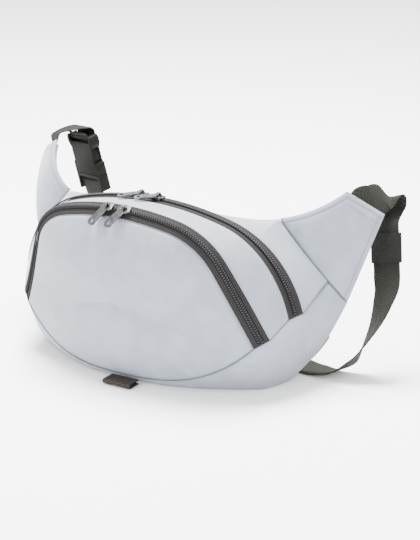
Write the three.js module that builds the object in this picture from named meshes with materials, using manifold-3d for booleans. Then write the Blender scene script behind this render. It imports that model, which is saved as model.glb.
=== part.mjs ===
// Waist bag with two arched zips, hip wings and a webbing belt closed by a side-release buckle.
// Millimetres, +Z up, the front panel towards -Y, the buckle at the -X end.
// The origin is the middle of the flat base, in the plane it stands on.
// "Right" is the +X side and "left" the -X side, as seen from the front.
import * as THREE from "three";
import { mergeVertices } from "three/addons/utils/BufferGeometryUtils.js";
import Module from "manifold-3d";

const wasm = await Module();
wasm.setup();

// ---------------------------------------------------------------- driving dimensions
const FABRIC = 1.0;              // thickness of the polyester panels
const GAP = 0.35;                // clearance between neighbouring pieces
const FOLD = 1.3;                // extra set-back where two panels meet at a sharp fold
const TAPE = 8;                  // width of one half of a zip tape
const COIL = { width: 5.6, height: 1.5 };
const WEBBING = { width: 30, thick: 1.4 };
const BACK_FLAT = 50;            // y of the flat middle of the back
const BASE_Z = 1.5;              // height of the rear bottom seam
const PULL = { length: 23, width: 6.6, thick: 1.4, ring: 8 };
const SLIDER = { length: 12, width: 7.8, offset: 9 };

// Each zip is an arch in a plane that leans by `lean` from the vertical: arcs from the crown
// outwards as [radius, end angle], the distance to its end, and the slope of each tape half
// across the arch at the crown and at the ends. `tuck` is how far its left end is drawn in.
const DEG = Math.PI / 180;
const FRONT_ZIP = {
  crown: [0, -45, 160], lean: 13 * DEG, reach: 192,
  arcs: [[250, 13.2 * DEG], [63, 64 * DEG], [4000, 66 * DEG]],
  near: [36 * DEG, 47 * DEG], far: [5.5 * DEG, 47 * DEG], tuck: 8,
};
const MAIN_ZIP = {
  crown: [0, 7, 158], lean: 5 * DEG, reach: 189,
  arcs: [[290, 16.2 * DEG], [89, 52.9 * DEG], [110, 83 * DEG]],
  near: [-3 * DEG, 22 * DEG], far: [-3 * DEG, 22 * DEG], tuck: 0,
};
// The belt pulls the wings unevenly, so each side has its own corners: where the wing is sewn
// on (top and bottom), where the base seam meets it, and the two corners of the wing's tip.
const SIDES = {
  right: { sign: 1, seamTop: [109, 145], seamLow: [171, 72], join: [155, 92],
    tipTop: [158.5, 85, 168.5], tipLow: [185, 108, 146], bow: 3 },
  left: { sign: -1, seamTop: [-125, 137.5], seamLow: [-177, 80], join: [-163, 95.5],
    tipTop: [-165, 84, 176], tipLow: [-195, 110, 162], bow: 9 },
};
// Side-release buckle: its own axes are across (x), out of its face (y) and down (z).
const BUCKLE = {
  top: [-154, 113, 177.5], across: [0.95, -0.30, 0.07], down: [0.12, 0.20, -0.97],
  thick: 11, wall: 2, mouth: 42, cavity: 13, inner: 16.5, waist: 16.3, lip: 18.6,
};

// ---------------------------------------------------------------- small helpers
const vec = (x, y, z) => new THREE.Vector3(x, y, z);
const mix = (a, b, t) => a + (b - a) * t;
const clamp = (v) => Math.min(1, Math.max(0, v));
const smooth = (v) => { const t = clamp(v); return t * t * (3 - 2 * t); };
const range = (n, a, b) => Array.from({ length: n + 1 }, (_, i) => mix(a, b, i / n));

const materials = {
  fabric: [0xd5dae2, 0.85, 0], lining: [0xb9bec8, 0.9, 0], mesh: [0x8c8f93, 0.95, 0],
  foam: [0xe8e6e0, 1, 0], tape: [0x55534f, 0.9, 0], coil: [0x62646a, 0.5, 0],
  webbing: [0x5b5e54, 0.9, 0], dark: [0x2f2b26, 0.9, 0], plastic: [0x4c4f46, 0.45, 0],
  elastic: [0x4f5348, 0.8, 0], metal: [0xb4b6b8, 0.35, 0.9],
};
for (const [name, [color, roughness, metalness]] of Object.entries(materials)) {
  materials[name] = new THREE.MeshStandardMaterial({ color, roughness, metalness });
}

const bag = new THREE.Group();
function add(name, geometry, material, parent = bag) {
  const mesh = new THREE.Mesh(geometry, materials[material]);
  mesh.name = name;
  parent.add(mesh);
  return mesh;
}

// Closed geometry from a list of triangles given as points.
function fromTriangles(triangles) {
  const kept = triangles.filter(([a, b, c]) =>
    [[a, b], [b, c], [c, a]].every(([p, q]) => p.distanceToSquared(q) > 1e-8));
  const geometry = new THREE.BufferGeometry().setFromPoints(kept.flat());
  return mergeVertices(geometry, 1e-4);
}

// Solid between two matching grids of points; `ring` closes each row on itself.
function between(outer, inner, ring = false) {
  const rows = outer.length, cols = outer[0].length, last = ring ? cols : cols - 1;
  const tris = [];
  const quad = (a, b, c, d) => tris.push([a, b, c], [a, c, d]);
  for (let i = 0; i < rows - 1; i++) {
    for (let j = 0; j < last; j++) {
      const k = (j + 1) % cols;
      quad(outer[i][j], outer[i][k], outer[i + 1][k], outer[i + 1][j]);
      quad(inner[i][j], inner[i + 1][j], inner[i + 1][k], inner[i][k]);
    }
  }
  for (let j = 0; j < last; j++) {
    const k = (j + 1) % cols;
    quad(outer[0][k], outer[0][j], inner[0][j], inner[0][k]);
    quad(outer[rows - 1][j], outer[rows - 1][k], inner[rows - 1][k], inner[rows - 1][j]);
  }
  if (!ring) {
    for (let i = 0; i < rows - 1; i++) {
      quad(outer[i][0], outer[i + 1][0], inner[i + 1][0], inner[i][0]);
      quad(outer[i + 1][cols - 1], outer[i][cols - 1], inner[i][cols - 1], inner[i + 1][cols - 1]);
    }
  }
  return fromTriangles(tris);
}

// Unit normals of a grid of points, pointing to the side from which the rows run
// anticlockwise to the columns.
function gridNormals(grid, ring = false) {
  const rows = grid.length, cols = grid[0].length;
  return grid.map((row, i) => row.map((_, j) => {
    const left = ring ? (j + cols - 1) % cols : Math.max(j - 1, 0);
    const right = ring ? (j + 1) % cols : Math.min(j + 1, cols - 1);
    const along = vec(0, 0, 0).subVectors(grid[i][right], grid[i][left]);
    const across = vec(0, 0, 0).subVectors(
      grid[Math.min(i + 1, rows - 1)][j], grid[Math.max(i - 1, 0)][j]);
    if (along.lengthSq() < 1e-6) along.subVectors(grid[1][right], grid[1][left]);
    return along.cross(across).normalize();
  }));
}

// Sheet of the given thickness under an outer surface, starting `depth` below it.
function sheet(grid, thickness, { depth = 0, ring = false } = {}) {
  const up = gridNormals(grid, ring);
  const layer = (d) => grid.map((row, i) =>
    row.map((p, j) => p.clone().addScaledVector(up[i][j], -d)));
  return between(layer(depth), layer(depth + thickness), ring);
}

// Moves the first and last rows of a grid inwards by the given set-backs.
function trimRows(grid, first, last) {
  const pull = (row, next, d) => row.map((p, j) => {
    const step = next[j].clone().sub(p);
    return p.clone().addScaledVector(step, Math.min(0.8, d / Math.max(step.length(), 1e-6)));
  });
  const n = grid.length - 1;
  return grid.map((row, i) =>
    i === 0 ? pull(row, grid[1], first) : i === n ? pull(row, grid[n - 1], last) : row);
}
const transpose = (grid) => grid[0].map((_, j) => grid.map((row) => row[j]));
const trimEnds = (grid, d) => transpose(trimRows(transpose(grid), d, d));

const toManifold = (geometry) => {
  const g = geometry.clone();
  g.deleteAttribute("normal");
  g.deleteAttribute("uv");
  const merged = mergeVertices(g, 1e-4);
  return new wasm.Manifold(new wasm.Mesh({
    numProp: 3, vertProperties: new Float32Array(merged.attributes.position.array),
    triVerts: new Uint32Array(merged.index.array),
  }));
};
const fromManifold = (solid) => {
  const mesh = solid.getMesh();
  const g = new THREE.BufferGeometry();
  g.setAttribute("position", new THREE.BufferAttribute(mesh.vertProperties, 3));
  g.setIndex(new THREE.BufferAttribute(mesh.triVerts, 1));
  return g;
};
const cut = (body, ...tools) => fromManifold(
  tools.reduce((solid, tool) => solid.subtract(toManifold(tool)), toManifold(body)));
const join = (body, ...others) => fromManifold(
  others.reduce((solid, other) => solid.add(toManifold(other)), toManifold(body)));
const boxAt = (sx, sy, sz, x = 0, y = 0, z = 0) =>
  new THREE.BoxGeometry(sx, sy, sz).translate(x, y, z);

// ---------------------------------------------------------------- the arches
// Point at distance s from the crown of an arch: across, up and the angle turned so far.
function archPoint(zip, s) {
  let across = 0, up = 0, angle = 0, left = s;
  for (const [radius, end] of zip.arcs) {
    const next = Math.min(end, angle + left / radius);
    across += radius * (Math.sin(next) - Math.sin(angle));
    up += radius * (Math.cos(next) - Math.cos(angle));
    left -= radius * (next - angle);
    angle = next;
    if (left < 1e-9) break;
  }
  return [across + left * Math.cos(angle), up - left * Math.sin(angle), angle];
}

const zipNormal = (zip) => vec(0, Math.cos(zip.lean), Math.sin(zip.lean));
const zipUp = (zip) => vec(0, -Math.sin(zip.lean), Math.cos(zip.lean));

// How far t is past the round crown, from 0 at the crown's end to 1 at the zip's end.
function pastCrown(zip, t) {
  const start = zip.arcs[0][0] * zip.arcs[0][1] / zip.reach;
  return smooth((Math.abs(t) - start) / (1 - start));
}

// Point beside the arch at t from -1 (left end) to 1 (right end): `out` away from the
// arch's centre in its plane, `back` along the plane's normal.
function besideArch(zip, t, out, back) {
  const [across, up, angle] = archPoint(zip, Math.abs(t) * zip.reach);
  const sign = Math.sign(t) || 1;
  const tuck = sign < 0 ? zip.tuck * pastCrown(zip, t) : 0;
  return vec(...zip.crown)
    .add(vec(sign * (across - tuck + out * Math.sin(angle)), 0, 0))
    .addScaledVector(zipUp(zip), up + out * Math.cos(angle))
    .addScaledVector(zipNormal(zip), back);
}
const tapeSlope = (zip, [crown, end], t) => mix(crown, end, pastCrown(zip, t));
// Point on a zip's tape at `w` across it, from -TAPE at the front edge to TAPE at the rear.
function onTape(zip, t, w) {
  const slope = tapeSlope(zip, w < 0 ? zip.near : zip.far, t);
  return besideArch(zip, t, w * Math.sin(slope), w * Math.cos(slope));
}

// ---------------------------------------------------------------- the seams round the body
const COLUMNS = range(44, -1, 1);          // left end to right end, over the top
const side = (t) => (t < 0 ? SIDES.left : SIDES.right);
const backY = (x) => BACK_FLAT + 15 * Math.max(0, (Math.abs(x) - 105) / 65) ** 2;
const onBack = (x, z) => vec(x, backY(x), z);
const tapeRow = (zip, w) => COLUMNS.map((t) => onTape(zip, t, w));

const TOP_SPAN = 0.58;                      // share of the rear seam that runs along the top
const DIP = 139;                            // height of the rear top seam in the middle
function rearSeam(t) {
  const { seamTop, join: end } = side(t);
  const a = Math.abs(t) / TOP_SPAN;
  if (a < 1) return onBack(seamTop[0] * a, mix(DIP, seamTop[1], a ** 4));
  const b = (a - 1) / (1 / TOP_SPAN - 1);
  return onBack(mix(seamTop[0], end[0], b), mix(seamTop[1], end[1], b));
}
const zRearBottom = (x) => BASE_Z + (side(x).seamLow[1] - BASE_Z)
  * Math.max(0, (Math.abs(x) - 112) / (Math.abs(side(x).seamLow[0]) - 112)) ** 2.3;

const FRONT_SEAM = { y: -45, z: 6 };
// Bottom seam of the front panel, from its middle (a = 0) to the end of the front zip (a = 1).
function frontBottom(a, sign) {
  const corner = onTape(FRONT_ZIP, sign, -TAPE);
  return vec(corner.x * a, mix(FRONT_SEAM.y, corner.y, a * a), mix(FRONT_SEAM.z, corner.z, a ** 3.1));
}
// Upper edge of the base band: along the front bottom seam, then up each base seam.
const BASE_SPLIT = 0.62;
function baseUpper(u) {
  const a = Math.abs(u), sign = u < 0 ? -1 : 1;
  if (a <= BASE_SPLIT) return frontBottom(a / BASE_SPLIT, sign);
  const end = side(u).join;
  const stops = [onTape(FRONT_ZIP, sign, -TAPE), onTape(FRONT_ZIP, sign, TAPE),
    onTape(MAIN_ZIP, sign, -TAPE), onTape(MAIN_ZIP, sign, TAPE), onBack(...end)];
  const f = (a - BASE_SPLIT) / (1 - BASE_SPLIT) * (stops.length - 1);
  const k = Math.min(stops.length - 2, Math.floor(f));
  return stops[k].clone().lerp(stops[k + 1], f - k);
}
const BASE_X = 135;                         // where the rear bottom seam passes the split
function baseLower(u) {
  const a = Math.abs(u), sign = u < 0 ? -1 : 1;
  const far = Math.abs(side(u).seamLow[0]);
  const x = sign * (a <= BASE_SPLIT ? BASE_X * a / BASE_SPLIT
    : mix(BASE_X, far, (a - BASE_SPLIT) / (1 - BASE_SPLIT)));
  return onBack(x, zRearBottom(x));
}
// The band hangs between its two edges like a shallow gutter, flat where it touches the ground.
const GUTTER = { middle: [0, -36, -10], split: [114, 4, -34] };
function basePoint(u, v) {
  const upper = baseUpper(u), lower = baseLower(u);
  const a = Math.abs(u);
  const bend = vec(...GUTTER.middle).lerp(vec(...GUTTER.split), clamp(a / BASE_SPLIT));
  bend.x *= Math.sign(u);
  bend.lerp(upper.clone().lerp(lower, 0.5), smooth((a - BASE_SPLIT) / (1 - BASE_SPLIT)));
  const p = upper.multiplyScalar((1 - v) ** 2).addScaledVector(bend, 2 * v * (1 - v))
    .addScaledVector(lower, v * v);
  p.z = Math.max(p.z, 0);
  return p;
}

// ---------------------------------------------------------------- body panels
// The front panel is a shallow dome from its middle out to its outline.
const DOME = { middle: [0, -38, 78], bulge: 21, power: 2.4 };
function frontPanel() {
  const top = COLUMNS.slice(0, -1).map((t) => onTape(FRONT_ZIP, t, -TAPE));
  const bottom = range(44, 1, -1).slice(0, -1)
    .map((u) => frontBottom(Math.abs(u), u < 0 ? -1 : 1));
  const outline = [...top, ...bottom].filter((_, i) => i % 2 === 0);
  const rings = range(8, 0, 1).map((r) => Math.sin(r * Math.PI / 2) ** 0.9);
  const grid = rings.map((r) => outline.map((p) =>
    vec(...DOME.middle).lerp(p, r).add(vec(0, -DOME.bulge * (1 - r ** DOME.power), 0))));
  return sheet(trimRows(grid, 0, FOLD), FABRIC, { ring: true });
}
// Panel or tape half between two rows of points, with extra rows in between.
function strip(first, last, { steps = 1, start = 0.5, end = 0.5 } = {}) {
  const rows = range(steps, 0, 1).map((f) => first.map((p, j) => p.clone().lerp(last[j], f)));
  return sheet(trimEnds(trimRows(rows, start, end), FOLD), FABRIC);
}
const frontNear = tapeRow(FRONT_ZIP, -TAPE), frontMid = tapeRow(FRONT_ZIP, 0);
const frontFar = tapeRow(FRONT_ZIP, TAPE);
const mainNear = tapeRow(MAIN_ZIP, -TAPE), mainMid = tapeRow(MAIN_ZIP, 0);
const mainFar = tapeRow(MAIN_ZIP, TAPE), rear = COLUMNS.map(rearSeam);

add("front_panel", frontPanel(), "fabric");
add("front_zip_lower_tape", strip(frontNear, frontMid, { start: FOLD }), "tape");
add("front_zip_upper_tape", strip(frontMid, frontFar, { end: FOLD }), "tape");
add("pocket_gusset", strip(frontFar, mainNear, { steps: 3, start: FOLD, end: FOLD }), "fabric");
add("main_zip_front_tape", strip(mainNear, mainMid, { start: FOLD }), "tape");
add("main_zip_rear_tape", strip(mainMid, mainFar, { end: FOLD }), "tape");
add("rear_gusset", strip(mainFar, rear, { steps: 3, start: FOLD, end: FOLD }), "fabric");

function baseBand() {
  const us = range(47, 1, -1);
  const vs = [0, 0.07, 0.15, 0.25, 0.33, 0.6, 0.85, 1];
  const grid = vs.map((v) => us.map((u) => basePoint(u, v)));
  return sheet(trimEnds(trimRows(grid, FOLD, FOLD), FOLD), FABRIC);
}
add("base_band", baseBand(), "fabric");

// Coil of a closed zip: a low ridge along the middle of the tapes.
function coil(zip) {
  const section = range(4, 0, Math.PI);
  const line = COLUMNS.map((t) => t * 0.985);
  const surface = (rise) => section.map((a) => line.map((t) => {
    const slope = mix(tapeSlope(zip, zip.near, t), tapeSlope(zip, zip.far, t), 0.5);
    const lift = besideArch(zip, t, Math.cos(slope), -Math.sin(slope))
      .sub(besideArch(zip, t, 0, 0));
    return onTape(zip, t, -Math.cos(a) * COIL.width / 2)
      .addScaledVector(lift, GAP + rise * Math.sin(a) * COIL.height);
  }));
  return between(surface(1), surface(0));
}
add("front_zip_coil", coil(FRONT_ZIP), "coil");
add("main_zip_coil", coil(MAIN_ZIP), "coil");

// ---------------------------------------------------------------- inside and back
// Panel between two heights over a range of x, standing at y = front(x), growing backwards.
function upright(xs, low, high, front, thick) {
  const layer = (d) => range(4, 0, 1).map((f) =>
    xs.map((x) => vec(x, front(x) + d, mix(low(x), high(x), f))));
  return between(layer(0), layer(thick));
}
// Height of the rear outline above and below a point of the back.
const zRearTop = (x) => {
  const { seamTop, seamLow } = side(x);
  const a = Math.abs(x), knee = Math.abs(seamTop[0]);
  return a < knee ? mix(DIP, seamTop[1], (a / knee) ** 4)
    : mix(seamTop[1], seamLow[1], (a - knee) / (Math.abs(seamLow[0]) - knee));
};
// Layers of the back, by material: depth behind the seam line, thickness, inset from the
// outline and height above the bottom seam.
const LAYERS = [
  ["back_lining", "lining", 0.4, 0.8, 3, 2.5],
  ["back_foam", "foam", 1.6, 4.4, 9, 0],
  ["back_panel", "mesh", 6.4, 1.2, 9, 0],
];
for (const [name, material, depth, thick, inset, rise] of LAYERS) {
  const narrow = 2.4 * inset;
  const xs = range(24, SIDES.left.seamLow[0] + narrow, SIDES.right.seamLow[0] - narrow);
  add(name, upright(xs, (x) => Math.max(0.5, zRearBottom(x) + rise),
    (x) => zRearTop(x) - inset, (x) => backY(x) + depth, thick), material);
}

// Wall between the front pocket and the main compartment, under the main zip's front tape.
const DIVIDER = { y: 1, thick: 0.8, narrow: 0.93, inset: 5, floor: 3, flat: 75, rise: 42 };
function divider() {
  const layer = (y) => [0, 1].map((f) => mainNear.map(({ x, z }) => {
    const corner = Math.max(0, (Math.abs(x) - DIVIDER.flat) / 67) ** 2;
    const low = DIVIDER.floor + DIVIDER.rise * corner;
    return vec(x * DIVIDER.narrow, y, mix(low, z - DIVIDER.inset, f));
  }));
  return between(layer(DIVIDER.y), layer(DIVIDER.y + DIVIDER.thick));
}
add("pocket_divider", divider(), "lining");

// ---------------------------------------------------------------- wings
// Layers of a wing, by material: where it starts and stops along the wing, inset of its long
// edges, depth under the outer surface, thickness.
const WING_LAYERS = [
  ["panel", "fabric", 0.03, 1, 0, 0, FABRIC],
  ["foam", "foam", 0.12, 0.76, 0.06, 1.4, 2.8],
  ["backing", "mesh", 0.12, 0.94, 0, 4.6, 1.0],
];
const WING = { seat: 2.8, flare: 5, bowing: [0.43, -0.76, 0.41] };
// Point on a wing: a from the body seam (0) to the tip (1), b from its top edge to its bottom.
function wingPoint({ sign, seamTop, seamLow, tipTop, tipLow, bow }, a, b) {
  const seam = onBack(mix(seamTop[0], seamLow[0], b), mix(seamTop[1], seamLow[1], b));
  const tip = vec(...tipTop).lerp(vec(...tipLow), b);
  const [x, y, z] = WING.bowing;
  const swell = 4 * a * Math.max(0, 1 - a), flare = WING.flare * Math.max(0, 1 - 2 * b);
  return seam.lerp(tip, a).add(vec(0, 0, -swell * flare))
    .add(vec(x * sign, y, z).multiplyScalar(bow * swell));
}
function wing(data, from, to, edge, depth, thick) {
  const as = range(6, data.sign > 0 ? from : to, data.sign > 0 ? to : from);
  const bs = range(6, 1 - edge, edge);
  return sheet(bs.map((b) => as.map((a) => wingPoint(data, a, b))), thick, { depth });
}
// Where the webbing is sewn in between a wing's two layers: its centre and its width direction.
function wingSeat(data, a, depth = WING.seat) {
  const here = wingPoint(data, a, 0.5);
  const along = wingPoint(data, a + 0.02, 0.5).sub(here).normalize();
  const edge = wingPoint(data, a, 0.7).sub(wingPoint(data, a, 0.3)).normalize();
  const inward = along.cross(edge).normalize().multiplyScalar(depth * data.sign);
  return [here.add(inward).toArray(), edge.toArray()];
}
for (const [name, data] of Object.entries(SIDES)) {
  for (const [layer, material, ...sizes] of WING_LAYERS) {
    add(`${name}_wing_${layer}`, wing(data, ...sizes), material);
  }
}

// ---------------------------------------------------------------- webbing
// Ribbon along a list of [centre, width direction] stations.
function ribbon(stations, steps, width = WEBBING.width) {
  const through = (i) => new THREE.CatmullRomCurve3(
    stations.map((station) => vec(...station[i])), false, "centripetal");
  const path = through(0), turns = through(1);
  const rows = range(steps, 0, 1).map((t) => {
    const tangent = path.getTangent(t), w = turns.getPoint(t);
    w.addScaledVector(tangent, -w.dot(tangent)).normalize();
    return { p: path.getPoint(t), w, n: tangent.clone().cross(w).normalize() };
  });
  const layer = (d) => rows.map(({ p, w, n }) => [-1, 1].map((k) =>
    p.clone().addScaledVector(w, k * width / 2).addScaledVector(n, d)));
  return between(layer(-WEBBING.thick / 2), layer(WEBBING.thick / 2));
}
// Buckle frame, and the point or direction in the bag's frame of one in the buckle's.
const buckle = new THREE.Group();
{
  const z = vec(...BUCKLE.down).normalize(), x = vec(...BUCKLE.across);
  x.addScaledVector(z, -x.dot(z)).normalize();
  const y = z.clone().cross(x);
  buckle.matrix.makeBasis(x, y, z).setPosition(...BUCKLE.top);
  buckle.matrix.decompose(buckle.position, buckle.quaternion, buckle.scale);
}
bag.add(buckle);
const onBuckle = (x, y, z) => vec(x, y, z).applyMatrix4(buckle.matrix).toArray();
const ACROSS = vec(...BUCKLE.across).negate().toArray();

// Centre of the belt and the direction across it, from the right wing round to the buckle.
const KEEPER_RUN = { top: [181.5, 116.5, 136.7], foot: [190.2, 104.5, 91.3], across: [0.97, -0.2, 0.15] };
const keeperAt = (f) => vec(...KEEPER_RUN.top).lerp(vec(...KEEPER_RUN.foot), f).toArray();
const STRAP_END = 82;                       // where the folded-back webbing of the plug stops
const BELT = [
  ...[0.82, 0.91].map((a) => wingSeat(SIDES.right, a)), wingSeat(SIDES.right, 1, 5.4),
  [[172.5, 109, 156.5], [0.66, 0.52, -0.54]], [[176, 119, 158.5], [0.80, 0.38, -0.46]],
  [[180, 126, 157], [0.90, 0.22, -0.34]], [[181.3, 126.5, 152.6], [0.97, 0.05, -0.2]],
  [[181.3, 122.8, 145.4], [0.99, -0.12, 0.04]],
  ...range(4, 0, 1).map((f) => [keeperAt(f), KEEPER_RUN.across]),
  [[193.1, 99.4, 80.4], [0.94, -0.29, 0.19]], [[192.5, 93, 67.9], [0.86, -0.45, 0.24]],
  [[189.7, 86.2, 51.3], [0.71, -0.63, 0.30]], [[184.2, 78.7, 34.4], [0.52, -0.78, 0.34]],
  [[175.2, 70.8, 15.3], [0.28, -0.83, 0.48]], [[159.6, 66, 4.4], [0.33, -0.90, 0.28]],
  [[141, 67, 1.4], [0.05, -1, 0.02]], [[120, 72.5, 1.2], [0, -1, 0]],
  [[95, 82, 1.2], [0, -1, 0]], [[60, 93, 1.2], [0, -1, 0]], [[10, 106, 1.2], [0, -1, 0]],
  [[-45, 124, 5], [0.15, -1, 0]], [[-90, 137, 21], [0.45, -0.85, 0.10]],
  [[-118, 141, 42], [0.78, -0.60, 0.10]],
  ...range(4, 117, STRAP_END + 0.5).map((z) => [onBuckle(0, 0.4, z), BUCKLE.across]),
];
// Short webbing from the left wing's tip over the socket's bar, round it and back on itself.
const TIP_STRAP = [
  ...[0.82, 0.91].map((a) => wingSeat(SIDES.left, a)), wingSeat(SIDES.left, 1, 3.6),
  [onBuckle(-16.5, 19, -4), [-0.80, 0.52, -0.26]], [onBuckle(-10.5, 13, -6.6), [-0.87, 0.42, -0.18]],
  [onBuckle(-4, 7, -7), [-0.92, 0.35, -0.12]],
  ...[[1.5, -5.2], [-2.6, -2.2], [-3.3, 0.5], [-3, 3], [-1.6, 4.8], [1.6, 4.8], [3, 3], [3.3, 0.5],
    [4.4, -1.8]].map(([y, z]) => [onBuckle(0, y, z), ACROSS]),
  [onBuckle(-2.5, 8, -3.2), ACROSS],
];
add("belt_webbing", ribbon(BELT, 84), "webbing");
add("left_webbing", ribbon(TIP_STRAP, 40), "webbing");

// Gear loop: webbing folded flat and sewn into the front bottom seam.
const LOOP = { width: 30, length: 13, gap: 2 };
function gearLoop() {
  const t = WEBBING.thick, h = LOOP.gap / 2 + t, r = LOOP.gap / 2;
  const profile = new THREE.Shape();
  profile.moveTo(0, h).lineTo(-LOOP.length, h)
    .absarc(-LOOP.length, 0, h, Math.PI / 2, Math.PI * 1.5, false).lineTo(0, -h).lineTo(0, -r)
    .lineTo(-LOOP.length, -r).absarc(-LOOP.length, 0, r, Math.PI * 1.5, Math.PI / 2, true)
    .lineTo(0, r).lineTo(0, h);
  const options = { depth: LOOP.width, bevelEnabled: false, curveSegments: 6 };
  return new THREE.ExtrudeGeometry(profile, options).translate(0, 0, -LOOP.width / 2);
}
const loop = add("gear_loop", gearLoop(), "dark");
loop.position.set(7, FRONT_SEAM.y - 1.8, 2.8);
loop.quaternion.setFromRotationMatrix(
  new THREE.Matrix4().makeBasis(vec(0, 1, 0), vec(0, 0, 1), vec(1, 0, 0)));

// Elastic keeper: a flat sleeve round the belt under the right wing's tip.
const KEEPER = { length: 27, at: 0.5, wall: 1.1, room: 0.8 };
{
  const z = vec(...KEEPER_RUN.foot).sub(vec(...KEEPER_RUN.top)).normalize();
  const x = vec(...KEEPER_RUN.across);
  x.addScaledVector(z, -x.dot(z)).normalize();
  const inner = [WEBBING.width, WEBBING.thick].map((size) => size + 2 * KEEPER.room);
  const outer = inner.map((size) => size + 2 * KEEPER.wall);
  const keeper = add("strap_keeper", cut(
    boxAt(...outer, KEEPER.length), boxAt(...inner, KEEPER.length + 2)), "elastic");
  keeper.position.set(...keeperAt(KEEPER.at));
  keeper.quaternion.setFromRotationMatrix(new THREE.Matrix4().makeBasis(x, z.clone().cross(x), z));
}

// ---------------------------------------------------------------- side-release buckle
// Plate with its outline in x and z, centred on y = `y`.
function plate(shape, thick, y = 0) {
  return new THREE.ExtrudeGeometry(shape, { depth: thick, bevelEnabled: false, curveSegments: 5 })
    .rotateX(Math.PI / 2).translate(0, thick / 2 + y, 0);
}
function mirrored(points) {
  const half = points.map(([x, z]) => new THREE.Vector2(x, z));
  return new THREE.Shape([...half, ...half.map((p) => new THREE.Vector2(-p.x, p.y)).reverse()]);
}
const SOCKET = [[15, 0], [18.4, 0.9], [19.5, 3.4], [19.5, 8.5], [18.2, 11.6], [BUCKLE.waist, 14.5],
  [BUCKLE.waist, 28.6], [BUCKLE.lip, 30.8], [BUCKLE.lip, BUCKLE.mouth]];
add("buckle_socket", cut(
  plate(mirrored(SOCKET), BUCKLE.thick),
  boxAt(2 * BUCKLE.inner, BUCKLE.thick - 2 * BUCKLE.wall, 30, 0, 0, BUCKLE.cavity + 15),
  boxAt(31.4, BUCKLE.thick + 2, 4.4, 0, 0, 5.2),
  ...[-1, 1].map((k) => boxAt(31.4, 6, 8, 0, 5 * k, 0))), "plastic", buckle);

const PLUG = { start: BUCKLE.mouth + 0.4, bridge: 3.8, length: 17, rail: 2.8 };
{
  const end = PLUG.start + PLUG.length, opening = 2 * (BUCKLE.lip - PLUG.rail);
  const rails = boxAt(2 * BUCKLE.lip, BUCKLE.thick, PLUG.length, 0, 0, PLUG.start + PLUG.length / 2);
  const gate = boxAt(opening, BUCKLE.thick + 2, PLUG.length,
    0, 0, PLUG.start + PLUG.bridge + PLUG.length / 2);
  const middleBar = boxAt(opening + 1, 2.4, 2.6, 0, -0.6, PLUG.start + 8.8);
  const endBar = boxAt(opening + 1, 2.2, 2.2, 0, -4.2, end - 1.2);
  const tongue = boxAt(6, 5, 22, 0, 0, PLUG.start - 10.4);
  add("buckle_plug", join(cut(rails, gate), middleBar, endBar, tongue), "plastic", buckle);
}
// Outline of a prong: its root, its inner edge and tip, and the head that shows at the side.
const PRONG = [[11.2, 42], [11.2, 27], [12.2, 16.4], [13.4, 15], [14.8, 15.4], [15.9, 18.5],
  [16.1, 22], [16.1, 27.6], [14.4, 28.6], [14.4, 42]];
for (const [name, sign] of [["right_prong", 1], ["left_prong", -1]]) {
  const shape = new THREE.Shape(PRONG.map(([x, z]) => new THREE.Vector2(sign * x, z)));
  add(name, plate(shape, 6.2), "plastic", buckle);
}
// Webbing round the plug's middle bar, in the buckle's axes.
add("adjuster_webbing", ribbon([
  [-3, 49], [0.4, 48.3], [2.4, 49.8], [2.6, 52.5], [2.4, 62], [2.4, 70], [2.4, STRAP_END],
].map(([y, z]) => [[0, y, z], [1, 0, 0]]), 20, 29.4), "webbing", buckle);

// ---------------------------------------------------------------- zip sliders and pulls
// Slider axes: along the zip (x), out of the tape (y), towards the front (z).
const BAR = { height: 5.2, radius: 0.6, span: 3.5, leg: 1.0, eye: 1.7 };
function sliderBody() {
  const half = SLIDER.length / 2, w = SLIDER.width / 2;
  const outline = new THREE.Shape([[-half, -w * 0.7], [-half * 0.5, -w], [half * 0.6, -w],
    [half, -w * 0.85], [half, w * 0.85], [half * 0.6, w], [-half * 0.5, w], [-half, w * 0.7]]
    .map(([x, y]) => new THREE.Vector2(x, y)));
  const cover = new THREE.ExtrudeGeometry(outline, { depth: 1.1, bevelEnabled: false })
    .rotateX(-Math.PI / 2).translate(0, 2.1, 0);
  const flanges = [-1, 1].map((k) => boxAt(SLIDER.length * 0.6, 1.8, 0.8, 0, 1.4, k * (w - 0.4)));
  const legs = [-1, 1].map((k) => boxAt(BAR.leg, BAR.height - 2, 1.4,
    k * (BAR.span + BAR.leg) / 2, BAR.height / 2 + 1.6, 0));
  const bar = new THREE.CylinderGeometry(BAR.radius, BAR.radius, BAR.span + 1, 10)
    .rotateZ(Math.PI / 2).translate(0, BAR.height, 0);
  return join(cover, ...flanges, ...legs, bar);
}
// Pull in the plane of x and z: an eye round the slider's bar, a neck, a tab and a ring end.
// `skew` turns the tab sideways on its neck.
function pull(skew) {
  const { length, width, thick, ring } = PULL;
  const eye = new THREE.CylinderGeometry(BAR.eye, BAR.eye, 2.6, 12).rotateZ(Math.PI / 2);
  const neck = boxAt(2.4, thick, 3.4, 0, 0, 3);
  const middle = length - ring + 1;
  const tab = new THREE.Shape();
  tab.moveTo(-width / 2, 0).lineTo(width / 2, 0).lineTo(width / 2, length - ring)
    .absarc(0, middle, ring / 2, -0.2, Math.PI + 0.2, false).lineTo(-width / 2, 0);
  tab.holes.push(new THREE.Path().absarc(0, middle, BAR.eye, 0, 2 * Math.PI, true));
  const blade = plate(tab, thick).rotateY(skew).translate(0, 0, 4.2);
  const bore = new THREE.CylinderGeometry(1, 1, 5, 12).rotateZ(Math.PI / 2);
  return cut(join(eye, neck, blade), bore);
}
const ZIPS = {
  front: { zip: FRONT_ZIP, drop: 18 * DEG, skew: -32 * DEG },
  main: { zip: MAIN_ZIP, drop: 6 * DEG, skew: -50 * DEG },
};
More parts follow.
